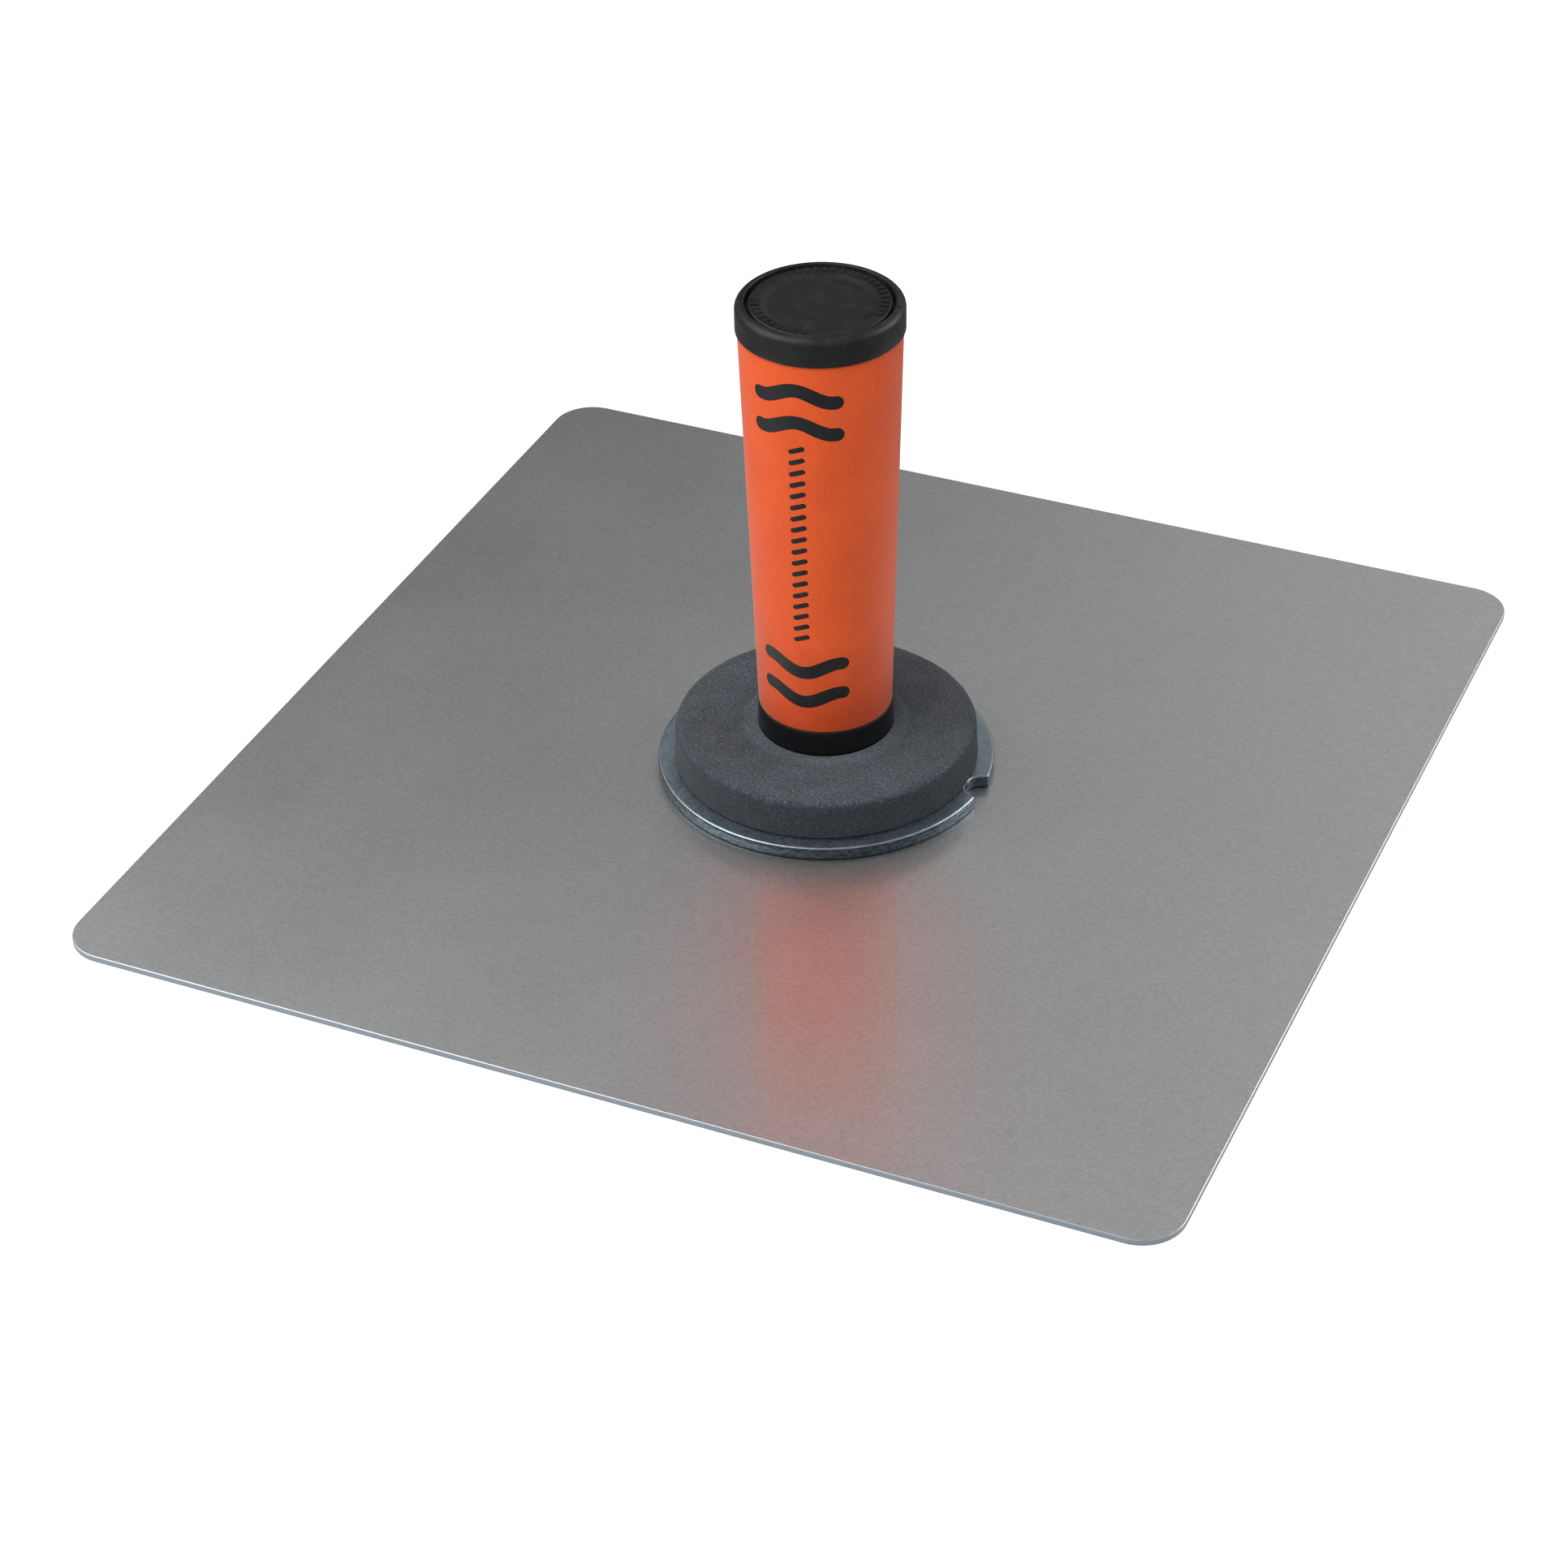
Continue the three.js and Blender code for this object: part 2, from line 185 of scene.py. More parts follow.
# Marks of the grip, on its unrolled surface: each wave's height above the disc and its crest's side
MARK_ANGLE = math.radians(-85)
WAVES = ((132.9 * MM, 1), (122.7 * MM, 1), (42.2 * MM, -1), (32.0 * MM, -1))
WAVE_HALF_LENGTH = 13.65 * MM
WAVE_HALF_THICKNESS = 2.1 * MM
WAVE_AMPLITUDE = 1.75 * MM
WAVE_HALF_PERIOD = 10.9 * MM
WAVE_STEPS = 28
DASH_COUNT = 18
DASH_LOWEST = 52.5 * MM
DASH_HIGHEST = 115.5 * MM
DASH_HALF_LENGTH = 2.5 * MM
DASH_HALF_THICKNESS = 0.75 * MM
DASH_SLANT = math.radians(22)
END_STEPS = 10
MARK_DROP = 0.06 * MM

# Softboxes: name, azimuth and elevation in degrees, distance, side, watts, and whether gloss shows it
SOFTBOXES = (
    ("key_light", -60, 50, 0.75, 0.6, 2.75, True),
    ("fill_light", -2, 50, 0.8, 0.6, 4.3, False),
    ("rim_light", 128, 28, 0.9, 0.5, 2.6, True),
)
FLOOR_REACH = 6.0

# Surround: colours by the sine of the elevation, and the dark gap behind the object in degrees
SKY = (
    (0.0, (0.17, 0.17, 0.17)),
    (0.3, (0.305, 0.30, 0.28)),
    (0.5, (0.49, 0.49, 0.475)),
    (0.68, (0.30, 0.305, 0.325)),
    (1.0, (0.27, 0.28, 0.295)),
)
GAP_PLACE = (214, 20)
GAP_INNER = 10
GAP_OUTER = 21
GAP_LIGHT = 0.02

# Facets, the least angle between two faces that shows as an edge, and how far a tool cuts past a piece
FINE = 256
MEDIUM = 96
SMALL = 64
FILLET_STEPS = 6
SHARP_ANGLE = math.radians(32)
WELD = 0.001 * MM
OVERCUT = 1 * MM

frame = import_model()


class Part:
    """Heights and radius of a CAD node, read from its box as a solid round the Z axis."""

    def __init__(self, node):
        low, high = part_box(node)
        self.bottom = low.z
        self.top = high.z
        self.radius = (high.y - low.y) / 2


BLADE = Part("blade")
DISC = Part("mount_disc")
STUD = Part("threaded_stud")
PAD = Part("foam_pad")
CORE = Part("handle_core")
INSERT = Part("thread_insert")
SLEEVE = Part("grip_sleeve")
PLUG = Part("end_plug")
PLUG_FACE = PLUG.top - PLUG_FACE_DROP


# ---------------------------------------------------------------- outlines and profiles


def arc(centre, radius, start, end, steps):
    """Points of an arc round a centre, from one angle to another."""
    angles = [start + (end - start) * i / steps for i in range(steps + 1)]
    return [(centre[0] + radius * math.cos(a), centre[1] + radius * math.sin(a)) for a in angles]


def circle(radius, facets, centre=(0, 0)):
    return arc(centre, radius, 0, 2 * math.pi, facets)[:-1]


def rounded(corners):
    """Profile through (x, z, radius) corners, each rounded off by an arc of its radius."""
    points = []
    for i, (x, z, radius) in enumerate(corners):
        corner = Vector((x, z))
        if radius == 0:
            points.append((x, z))
            continue
        before = (Vector(corners[i - 1][:2]) - corner).normalized()
        after = (Vector(corners[(i + 1) % len(corners)][:2]) - corner).normalized()
        half = before.angle(after) / 2
        centre = corner + (before + after).normalized() * (radius / math.sin(half))
        start = corner + before * (radius / math.tan(half)) - centre
        end = corner + after * (radius / math.tan(half)) - centre
        turn = math.pi - 2 * half
        for step in range(FILLET_STEPS + 1):
            share = step / FILLET_STEPS
            spoke = start * math.sin(turn * (1 - share)) + end * math.sin(turn * share)
            points.append(tuple(centre + spoke / math.sin(turn)))
    return points


def subdivided(profile, longest):
    """The same closed profile with no step longer than a given length."""
    points = []
    for a, b in zip(profile, profile[1:] + profile[:1]):
        steps = math.ceil(math.dist(a, b) / longest)
        points += [tuple(Vector(a).lerp(Vector(b), i / steps)) for i in range(steps)]
    return points


# ---------------------------------------------------------------- mesh building


def add_loop(bm, points, height):
    return [bm.verts.new((x, y, height)) for x, y in points]


def add_ring(bm, radius, height, facets, centre=(0, 0)):
    """Circle of vertices, or the one vertex on its axis where the radius is nothing."""
    if radius == 0:
        return add_loop(bm, [centre], height)
    return add_loop(bm, circle(radius, facets, centre), height)


def join_loops(bm, loops):
    """Bands of faces between successive loops of vertices."""
    for low, high in zip(loops, loops[1:]):
        for i in range(max(len(low), len(high))):
            lower = (low[i % len(low)], low[(i + 1) % len(low)])
            upper = (high[(i + 1) % len(high)], high[i % len(high)])
            bm.faces.new(list(dict.fromkeys(lower + upper)))


def fill_face(bm, loops):
    """Flat face between an outer loop and the loops of its holes, with crisp edges."""
    edges = [bm.edges.get(pair) for loop in loops for pair in zip(loop, loop[1:] + loop[:1])]
    bmesh.ops.triangle_fill(bm, edges=edges, use_beauty=True)
    for edge in edges:
        edge.smooth = False


def lathe(profile, facets=FINE):
    """Solid of revolution. A profile that doesn't start on the axis closes into a ring."""
    bm = bmesh.new()
    loops = [add_ring(bm, radius, height, facets) for radius, height in profile]
    if profile[0][0] > 0:
        loops.append(loops[0])
    join_loops(bm, loops)
    return bm


def radial_place(angle):
    """Function that puts (sideways, height, depth) in space, with depth straight out at an angle."""
    outwards = Vector((math.cos(angle), math.sin(angle), 0))
    sideways = Vector((-outwards.y, outwards.x, 0))
    return lambda x, z, depth: outwards * depth + sideways * x + Vector((0, 0, z))


def prism(bm, points, place, depths):
    """Straight bar with a closed outline, between two depths. place puts (x, y, depth) in space."""
    ends = [[bm.verts.new(place(x, y, depth)) for x, y in points] for depth in depths]
    join_loops(bm, ends)
    for end in ends:
        bm.faces.new(end)


def face_outwards(bm):
    bmesh.ops.recalc_face_normals(bm, faces=bm.faces)
    return bm


def link_object(name, data):
    """Object of some data, linked to the scene."""
    made = bpy.data.objects.new(name, data)
    bpy.context.scene.collection.objects.link(made)
    return made


def new_object(name, bm):
    """Object of a mesh under construction, which is used up."""
    mesh = bpy.data.meshes.new(name)
    bm.to_mesh(mesh)
    bm.free()
    return link_object(name, mesh)


def combine(base, tool, operation):
    """Union, intersection or difference of two closed meshes, with its degenerate faces dissolved.
    Both meshes are used up."""
    pair = [new_object("boolean", face_outwards(bm)) for bm in (base, tool)]
    modifier = pair[0].modifiers.new("boolean", "BOOLEAN")
    modifier.operation = operation
    modifier.solver = "MANIFOLD"
    modifier.object = pair[1]
    result = pair[0].evaluated_get(bpy.context.evaluated_depsgraph_get())
    bm = bmesh.new()
    bm.from_mesh(result.to_mesh())
    bmesh.ops.dissolve_degenerate(bm, dist=WELD, edges=bm.edges)
    for used in pair:
        mesh = used.data
        bpy.data.objects.remove(used)
        bpy.data.meshes.remove(mesh)
    return bm


def shade(bm):
    """Smooth faces with sharp edges wherever two of them meet at more than the sharp angle."""
    for face in bm.faces:
        face.smooth = True
    for edge in bm.edges:
        if edge.calc_face_angle(0) > SHARP_ANGLE:
            edge.smooth = False


def add_piece(name, bm, node, material):
    """Finish a mesh as the visible piece of a CAD node, in a material that knows its slot."""
    shade(face_outwards(bm))
    piece = new_object(name, bm)
    piece.data.materials.append(material)
    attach(piece, frame["nodes"][node]["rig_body"])
    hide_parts(node)
    return piece


# ---------------------------------------------------------------- materials


def add_node(tree, kind, inputs, **settings):
    """Add a node to a tree, and feed each of its inputs with a value or from another node."""
    made = tree.nodes.new("ShaderNode" + kind)
    for name, value in settings.items():
        setattr(made, name, value)
    for name, value in inputs.items():
        if isinstance(value, bpy.types.NodeSocket):
            tree.links.new(value, made.inputs[name])
        else:
            made.inputs[name].default_value = value
    return made


class Surface:
    """A slot's material under construction: its Principled shader and the nodes that feed it."""

    def __init__(self, slot, constants):
        self.material = bpy.data.materials.new("fine_" + slot)
        self.material["slot"] = slot
        self.material.use_nodes = True
        self.tree = self.material.node_tree
        self.shader = self.tree.nodes["Principled BSDF"]
        self.place = self.node("TexCoord", {}).outputs["Object"]
        for socket, value in constants.items():
            self.shader.inputs[socket].default_value = value

    def node(self, kind, inputs, **settings):
        return add_node(self.tree, kind, inputs, **settings)

    def feed(self, socket, value):
        self.tree.links.new(value, self.shader.inputs[socket])

    def noise(self, size, detail=2, stretch=(1, 1, 1), turn=0):
        """Noise about 0.5 whose features have a given size, drawn out along the axes."""
        scale = tuple(1 / (size * s) for s in stretch)
        placed = self.node("Mapping", {"Vector": self.place, "Rotation": (0, 0, turn)})
        sized = self.node("Mapping", {"Vector": placed.outputs[0], "Scale": scale})
        inputs = {"Vector": sized.outputs[0], "Scale": 1, "Detail": detail}
        return self.node("TexNoise", inputs).outputs[0]

    def span(self, value, source, target):
        """Map one range of values onto another, and hold it at both ends."""
        inputs = {"Value": value, 1: source[0], 2: source[1], 3: target[0], 4: target[1]}
        return self.node("MapRange", inputs).outputs[0]

    def math(self, operation, a, b):
        return self.node("Math", {0: a, 1: b}, operation=operation).outputs[0]

    def mix(self, share, a, b):
        """Blend of two colours, each three numbers or another node's output."""
        colours = [(*c, 1) if isinstance(c, tuple) else c for c in (a, b)]
        return self.node("Mix", {0: share, 6: colours[0], 7: colours[1]}, data_type="RGBA").outputs[2]

    def height(self):
        return self.node("SeparateXYZ", {0: self.place}).outputs["Z"]

    def axis_distance(self):
        """Distance of a point from the Z axis."""
        flat = self.node("VectorMath", {0: self.place, 1: (1, 1, 0)}, operation="MULTIPLY").outputs[0]
        return self.node("VectorMath", {0: flat}, operation="LENGTH").outputs["Value"]

    def upright_share(self):
        """1 on an upright face and 0 on a level one."""
        normal = self.node("TexCoord", {}).outputs["Normal"]
        up = self.math("ABSOLUTE", self.node("SeparateXYZ", {0: normal}).outputs["Z"], 0)
        return self.span(up, (0.5, 0.85), (1, 0))

    def bump(self, layers):
        """Chain of bumps, from (height, depth) pairs, into the shader's normal."""
        normal = None
        for height, depth in layers:
            inputs = {"Height": height, "Distance": depth, "Strength": 1}
            if normal:
                inputs["Normal"] = normal
            normal = self.node("Bump", inputs).outputs[0]
        self.feed("Normal", normal)


def scratches(surface):
    """Sparse slanted scratches in patches: towards 1 on a scratch and 0 off it."""
    lines = surface.noise(0.3 * MM, 1, (110, 1, 1), math.radians(38))
    patches = surface.noise(30 * MM, 1)
    return surface.math(
        "MULTIPLY",
        surface.span(lines, (0.72, 0.8), (0, 1)),
        surface.span(patches, (0.52, 0.62), (0, 0.8)),
    )


def aluminium(slot, base, streak_turn=0):
    """Satin rolled sheet: a broad gloss under a sharper one, with faint rolling lines along X.
    Its sheared edges are paler and rougher than its faces."""
    constants = {"Metallic": 1, "Coat Weight": 1, "Coat IOR": 1.65, "Coat Roughness": 0.12}
    surface = Surface(slot, constants)
    lines = surface.noise(0.4 * MM, 3, (80, 1, 1), streak_turn)
    grain = surface.noise(0.6 * MM, 3, (2, 1, 1), streak_turn)
    clouds = surface.noise(60 * MM, 3)
    scratched = scratches(surface)
    edge = surface.upright_share()
    darker = tuple(0.82 * c for c in base)
    dark = tuple(0.96 * c for c in base)
    streaked = surface.mix(surface.span(lines, (0.3, 0.7), (0, 1)), dark, base)
    clouded = surface.mix(surface.span(clouds, (0.35, 0.65), (0, 0.25)), streaked, dark)
    grained = surface.mix(surface.span(grain, (0.4, 0.68), (0, 1)), clouded, darker)
    marked = surface.mix(scratched, grained, (1.0, 1.0, 0.98))
    surface.feed("Base Color", surface.mix(edge, marked, (0.86, 0.93, 1.0)))
    gloss = surface.span(clouds, (0.3, 0.7), (0.39, 0.43))
    surface.feed("Roughness", surface.math("ADD", gloss, surface.span(edge, (0, 1), (0, 0.4))))
    surface.bump(((grain, 0.004 * MM), (lines, 0.001 * MM), (scratched, 0.003 * MM)))
    return surface.material


def zinc():
    """Bright zinc plating: bluish grey with a fine speckle and soft stains of a few millimetres,
    darker on sheared edges, where it is scored, with a painted shadow line along the blade."""
    surface = Surface("zinc_steel", {"Metallic": 1})
    stains = surface.noise(5 * MM, 4)
    speckle = surface.noise(0.7 * MM, 3)
    pits = surface.noise(0.45 * MM, 2)
    scores = surface.noise(0.6 * MM, 3, (3, 3, 1))
    stained = surface.span(stains, (0.35, 0.65), (0, 1))
    tint = surface.mix(stained, (0.40, 0.51, 0.56), (0.53, 0.64, 0.70))
    speckled = surface.mix(surface.span(speckle, (0.4, 0.7), (0, 0.6)), tint, (0.68, 0.77, 0.82))
    pitted = surface.mix(surface.span(pits, (0.6, 0.75), (0, 0.7)), speckled, (0.2, 0.23, 0.25))
    score_share = surface.span(scores, (0.4, 0.62), (0, 1))
    scored = surface.mix(score_share, (0.06, 0.08, 0.095), (0.14, 0.175, 0.20))
    edged = surface.mix(surface.upright_share(), pitted, scored)
    # Painted shadow line where the disc meets the blade
    joint_shade_heights = (DISC.bottom + JOINT_SHADE_SOLID, DISC.bottom + JOINT_SHADE_END)
    joint_shade = surface.span(surface.height(), joint_shade_heights, (0.9, 0))
    surface.feed("Base Color", surface.mix(joint_shade, edged, (0.015, 0.017, 0.02)))
    surface.feed("Roughness", surface.span(speckle, (0.3, 0.7), (0.30, 0.44)))
    surface.bump(((stains, 0.02 * MM), (speckle, 0.02 * MM), (pits, 0.01 * MM)))
    return surface.material


def brass():
    """Machined brass with fine turning marks round its axis."""
    surface = Surface("insert_brass", {"Metallic": 1})
    turned = surface.noise(0.15 * MM, 2, (60, 60, 1))
    tarnish = surface.noise(3 * MM, 3)
    clean = surface.mix(surface.span(turned, (0.3, 0.7), (0, 1)), (0.66, 0.47, 0.20), (0.80, 0.60, 0.30))
    tarnished = surface.span(tarnish, (0.45, 0.7), (0, 0.6))
    surface.feed("Base Color", surface.mix(tarnished, clean, (0.35, 0.22, 0.09)))
    surface.feed("Roughness", surface.span(tarnish, (0.3, 0.7), (0.25, 0.42)))
    surface.bump(((turned, 0.01 * MM),))
    return surface.material


def foam():
    """Closed-cell foam: charcoal with a dusty bloom, pale specks and pores, darker where it is cut,
    and paler in a ring round the handle, a painted highlight on the raised ring."""
    constants = {"Sheen Weight": 0.08, "Sheen Roughness": 0.6, "Specular IOR Level": 0.2}
    surface = Surface("charcoal_foam", constants)
    bloom = surface.noise(9 * MM, 4)
    dust = surface.noise(0.8 * MM, 3)
    specks = surface.noise(0.5 * MM, 2)
    pores = surface.noise(0.6 * MM, 3)
    ring = (PAD_RING_RADIUS - PAD_RING_BLUR, PAD_RING_RADIUS + PAD_RING_BLUR)
    # Painted highlight: a paler ring round the handle, where the raised ring catches light
    painted_ring_light = surface.span(surface.axis_distance(), ring, (0.35, 0))
    bloomed = surface.span(bloom, (0.35, 0.65), (0, 1))
    charcoal = surface.mix(bloomed, (0.028, 0.035, 0.043), (0.045, 0.055, 0.066))
    paler = surface.mix(painted_ring_light, charcoal, (0.095, 0.105, 0.118))
    dusty = surface.mix(surface.span(dust, (0.42, 0.68), (0, 0.55)), paler, (0.115, 0.125, 0.138))
    specked = surface.mix(surface.span(specks, (0.66, 0.72), (0, 0.9)), dusty, (0.25, 0.28, 0.31))
    pored = surface.mix(surface.span(pores, (0.58, 0.7), (0, 0.7)), specked, (0.018, 0.021, 0.027))
    opened = surface.span(pores, (0.4, 0.7), (0, 1))
    cut = surface.mix(opened, (0.030, 0.036, 0.042), (0.012, 0.014, 0.017))
    cut_share = surface.math("MULTIPLY", surface.upright_share(), 0.55)
    surface.feed("Base Color", surface.mix(cut_share, pored, cut))
    surface.feed("Roughness", surface.span(bloom, (0.3, 0.7), (0.85, 0.97)))
    surface.bump(((dust, 0.2 * MM), (pores, 0.14 * MM)))
    return surface.material


def black_plastic():
    """Moulded plastic with a fine spark-eroded texture and a few scuffs, rubbed smooth on the collar,
    where the pad turns on it, and darker there with painted shade from the pad."""
    surface = Surface("black_plastic", {"Specular IOR Level": 0.42})
    texture = surface.noise(0.35 * MM, 2)
    fine = surface.noise(0.15 * MM, 2)
    wear = surface.noise(5 * MM, 4)
    spark = surface.span(texture, (0.35, 0.7), (0, 1))
    plain = surface.mix(spark, (0.006, 0.006, 0.007), (0.017, 0.018, 0.019))
    scuffed = surface.mix(surface.span(wear, (0.5, 0.72), (0, 0.4)), plain, (0.026, 0.027, 0.028))
    # Below the sleeve: smoother, and darker as painted shade from the pad
    collar_shade_and_polish = surface.span(surface.height(), (SLEEVE.bottom - COLLAR_SHADE_FADE, SLEEVE.bottom), (1, 0))
    surface.feed("Base Color", surface.mix(collar_shade_and_polish, scuffed, (0.004, 0.004, 0.005)))
    rough = surface.span(wear, (0.3, 0.7), (0.36, 0.5))
    surface.feed("Roughness", surface.math("SUBTRACT", rough, surface.math("MULTIPLY", collar_shade_and_polish, 0.18)))
    surface.bump(((texture, 0.03 * MM), (fine, 0.012 * MM)))
    return surface.material


def orange_rubber():
    """Soft moulded rubber: saturated orange under a fine skin, paler where it is dusty, and darker
    towards the pad with painted shade, which also dims its reflection in the blade."""
    constants = {"Sheen Weight": 0.2, "Sheen Roughness": 0.4, "Specular IOR Level": 0.5}
    constants["Sheen Tint"] = (1.0, 0.86, 0.84, 1)
    surface = Surface("orange_rubber", constants)
    skin = surface.noise(0.3 * MM, 2)
    pale = surface.noise(0.7 * MM, 2)
    shift = surface.noise(18 * MM, 3)
    specks = surface.noise(0.5 * MM, 1)
    shifts = surface.span(shift, (0.3, 0.7), (-PAD_SHADE_UNEVEN, PAD_SHADE_UNEVEN))
    uneven = surface.math("ADD", surface.height(), shifts)
    # Painted shade: the grip darkens towards the pad, where the pad and collar shade it
    pad_shade = surface.span(uneven, (SLEEVE.bottom, SLEEVE.bottom + PAD_SHADE_HEIGHT), (0.7, 0))
    shifted = surface.span(shift, (0.35, 0.65), (0, 1))
    orange = surface.mix(shifted, (0.80, 0.088, 0.012), (0.87, 0.105, 0.016))
    skinned = surface.mix(surface.span(pale, (0.4, 0.75), (0, 0.35)), orange, (0.90, 0.18, 0.05))
    specked = surface.mix(surface.span(specks, (0.76, 0.8), (0, 0.6)), skinned, (0.95, 0.45, 0.30))
    # Mix towards a dark orange as painted shade near the pad
    surface.feed("Base Color", surface.mix(pad_shade, specked, (0.55, 0.056, 0.010)))
    surface.feed("Roughness", surface.span(shift, (0.3, 0.7), (0.50, 0.58)))
    surface.bump(((skin, 0.02 * MM),))
    return surface.material


def pale_floor():
    """Matte sweep that gives the object a soft grey light, and looks white to the camera itself."""
    surface = Surface("pale_floor", {"Emission Color": (1, 1, 1, 1), "Roughness": 0.9})
    mottle = surface.noise(40 * MM, 3)
    surface.feed("Base Color", surface.mix(mottle, (0.20, 0.20, 0.20), (0.24, 0.24, 0.24)))
    seen = surface.node("LightPath", {}).outputs["Is Camera Ray"]
    surface.feed("Emission Strength", surface.span(seen, (0, 1), (0, 1)))
    return surface.material


# ---------------------------------------------------------------- blade, disc and their fasteners


def edge_section(bottom, top, lower_round, upper_round):
    """Edge of a plate as (inset, height) points: straight, with a round at each end."""
    lower = arc((lower_round, bottom + lower_round), lower_round, -math.pi / 2, -math.pi, FILLET_STEPS)
    upper = arc((upper_round, top - upper_round), upper_round, math.pi, math.pi / 2, FILLET_STEPS)
    return lower + upper


def blade_outline(inset):
    """Square with rounded corners, moved inwards by an inset."""
    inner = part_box("blade")[1].x - BLADE_CORNER_RADIUS
    points = []
    for corner, (x, y) in enumerate(((1, 1), (-1, 1), (-1, -1), (1, -1))):
        start = corner * math.pi / 2
        centre = (x * inner, y * inner)
        points += arc(centre, BLADE_CORNER_RADIUS - inset, start, start + math.pi / 2, 3 * FILLET_STEPS)
    return points


def disc_outline(inset):
    """Circle with a half-round notch towards +X, whose two lips are rounded."""
    from_axis = DISC.radius - NOTCH_LIP_RADIUS
    from_notch = NOTCH_RADIUS + NOTCH_LIP_RADIUS
    x = (from_axis**2 + DISC.radius**2 - from_notch**2) / (2 * DISC.radius)
    y = math.sqrt(from_axis**2 - x**2)
    rim_angle = math.atan2(y, x)
    lip_angle = math.atan2(y, DISC.radius - x)
    lip = NOTCH_LIP_RADIUS - inset
    notch = (DISC.radius, 0)
    return [
        *arc((0, 0), DISC.radius - inset, rim_angle, 2 * math.pi - rim_angle, FINE),
        *arc((x, -y), lip, -rim_angle, lip_angle, 2 * FILLET_STEPS)[1:],
        *arc(notch, NOTCH_RADIUS + inset, math.pi + lip_angle, math.pi - lip_angle, 6 * FILLET_STEPS)[1:],
        *arc((x, y), lip, -lip_angle, rim_angle, 2 * FILLET_STEPS)[1:-1],
    ]


def add_plate(bm, section, outline, holes):
    """Plate with a given edge section and outline, and round holes through it."""
    sides = [add_loop(bm, outline(inset), height) for inset, height in section]
    join_loops(bm, sides)
    walls = []
    for centre, profile in holes:
        wall = [add_ring(bm, radius, height, SMALL, centre) for radius, height in profile]
        join_loops(bm, wall)
        walls.append(wall)
    for end in (0, -1):
        fill_face(bm, [sides[end]] + [wall[end] for wall in walls])


def rivet_places():
    angles = [(i + 0.5) * 2 * math.pi / RIVET_COUNT for i in range(RIVET_COUNT)]
    return [(RIVET_CIRCLE_RADIUS * math.cos(a), RIVET_CIRCLE_RADIUS * math.sin(a)) for a in angles]


def make_blade(material):
    cone = [
        (RIVET_HEAD_RADIUS + SEAM, BLADE.bottom),
        (RIVET_SHANK_RADIUS + SEAM, BLADE.bottom + RIVET_HEAD_DEPTH),
        (RIVET_SHANK_RADIUS + SEAM, BLADE.top),
    ]
    section = edge_section(BLADE.bottom, BLADE.top, BLADE_LOWER_ROUND, BLADE_UPPER_ROUND)
    bm = bmesh.new()
    add_plate(bm, section, blade_outline, [(place, cone) for place in rivet_places()])
    add_piece("blade_plate", bm, "blade", material)


def make_disc(material):
    """The punched edge breaks to a slightly smaller size below, and rolls over at the top."""
    round_edge = edge_section(DISC.bottom, DISC.top, DISC_LOWER_BEVEL, DISC_UPPER_ROUND)
    rolled = round_edge[FILLET_STEPS + 1:]
    section = [
        (DISC_BREAK_INSET + DISC_LOWER_BEVEL, DISC.bottom),
        (DISC_BREAK_INSET, DISC.bottom + DISC_LOWER_BEVEL),
        (DISC_BREAK_INSET, DISC.bottom + DISC_BREAK_HEIGHT),
        (0, DISC.bottom + DISC_BREAK_HEIGHT + DISC_BREAK_SLOPE),
        *rolled,
    ]
    stud_hole = [
        (STUD_HEAD_RADIUS + SEAM, DISC.bottom),
        (STUD_SHANK_RADIUS + SEAM, DISC.bottom + STUD_HEAD_DEPTH),
        (STUD_SHANK_RADIUS + SEAM, DISC.top),
    ]
    cone = [
        (RIVET_SHANK_RADIUS + SEAM, DISC.bottom),
        (RIVET_SHANK_RADIUS + SEAM, DISC.top - RIVET_HEAD_DEPTH),
        (RIVET_HEAD_RADIUS + SEAM, DISC.top),
    ]
    holes = [((0, 0), stud_hole)] + [(place, cone) for place in rivet_places()]
    bm = bmesh.new()
    add_plate(bm, section, disc_outline, holes)
    add_piece("zinc_disc", bm, "mount_disc", material)


def make_rivets(material):
    outline = rounded(
        [
            (0, BLADE.bottom, 0),
            (RIVET_HEAD_RADIUS, BLADE.bottom, RIVET_EDGE_ROUND),
            (RIVET_SHANK_RADIUS, BLADE.bottom + RIVET_HEAD_DEPTH, 0),
            (RIVET_SHANK_RADIUS, DISC.top - RIVET_HEAD_DEPTH, 0),
            (RIVET_HEAD_RADIUS, DISC.top, RIVET_EDGE_ROUND),
            (0, DISC.top, 0),
        ]
    )
    for i, (x, y) in enumerate(rivet_places(), start=1):
        bm = lathe(outline, SMALL)
        bmesh.ops.translate(bm, verts=bm.verts, vec=(x, y, 0))
        add_piece(f"flush_rivet_{i}", bm, f"rivet_{i}", material)


def thread_radius(angle, height, clearance):
    """Radius of a right-hand thread at an angle and a height, grown by a clearance."""
    phase = ((height - INSERT.bottom) / THREAD_PITCH - angle / (2 * math.pi)) % 1
    shares, depths = zip(*THREAD_FORM, (1, THREAD_FORM[0][1]))
    return THREAD_RADIUS + clearance - THREAD_DEPTH * (1 - np.interp(phase, shares, depths))


